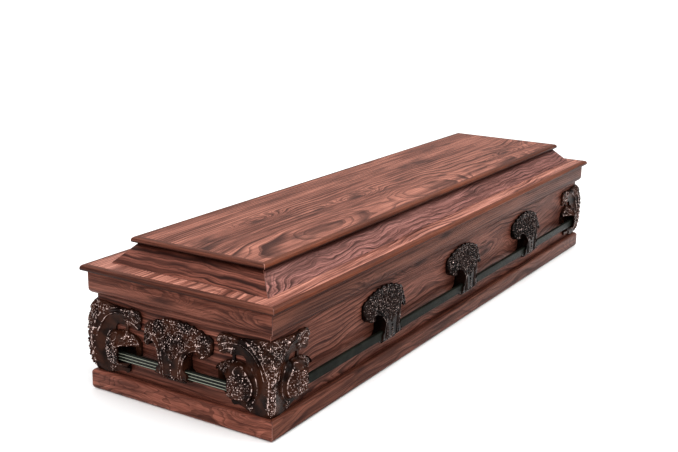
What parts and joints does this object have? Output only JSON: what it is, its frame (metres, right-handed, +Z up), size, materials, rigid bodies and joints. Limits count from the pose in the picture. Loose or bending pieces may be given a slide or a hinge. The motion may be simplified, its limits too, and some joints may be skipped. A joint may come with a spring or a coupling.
{
  "type": "coffin",
  "caption": "Closed rectangular wooden coffin with a raised hip-shaped lid, a plinth, a fascia and relief-cast fittings that hold carrying bars.",
  "frame": {"origin": "on the floor under the middle of the coffin", "axes": "+X along the coffin to its head end, +Y away from the front side, +Z up"},
  "size_m": [2.086, 0.623, 0.4014],
  "materials": {
    "panel_wood": "satin reddish-brown stain over a flamed grain",
    "moulding_wood": "satin reddish-brown stain, grain along the board",
    "lid_wood": "satin reddish-brown stain over a flamed grain",
    "cast_lacquer": "glossy dark brown lacquer over cast relief",
    "bar_lacquer": "semi-gloss black-green lacquer, light on the edges of the flutes"
  },
  "bodies": {
    "root": {"base_board": "panel_wood", "wall_front": "panel_wood", "wall_foot": "panel_wood", "wall_back": "panel_wood", "wall_head": "panel_wood", "plinth_front": "moulding_wood", "plinth_foot": "moulding_wood", "plinth_back": "moulding_wood", "plinth_head": "moulding_wood", "fascia_front": "moulding_wood", "fascia_foot": "moulding_wood", "fascia_back": "moulding_wood", "fascia_head": "moulding_wood", "lid_ledge": "lid_wood", "lid_slope_front": "lid_wood", "lid_slope_foot": "lid_wood", "lid_slope_back": "lid_wood", "lid_slope_head": "lid_wood", "lid_top": "lid_wood", "corner_casting_front_foot": "cast_lacquer", "corner_casting_front_head": "cast_lacquer", "corner_casting_back_head": "cast_lacquer", "corner_casting_back_foot": "cast_lacquer", "middle_casting_front_1": "cast_lacquer", "middle_casting_front_2": "cast_lacquer", "middle_casting_front_3": "cast_lacquer", "middle_casting_head": "cast_lacquer", "middle_casting_back_1": "cast_lacquer", "middle_casting_back_2": "cast_lacquer", "middle_casting_back_3": "cast_lacquer", "middle_casting_foot": "cast_lacquer", "carrying_bar_front": "bar_lacquer", "carrying_bar_head": "bar_lacquer", "carrying_bar_back": "bar_lacquer", "carrying_bar_foot": "bar_lacquer"}
  },
  "joints": []
}
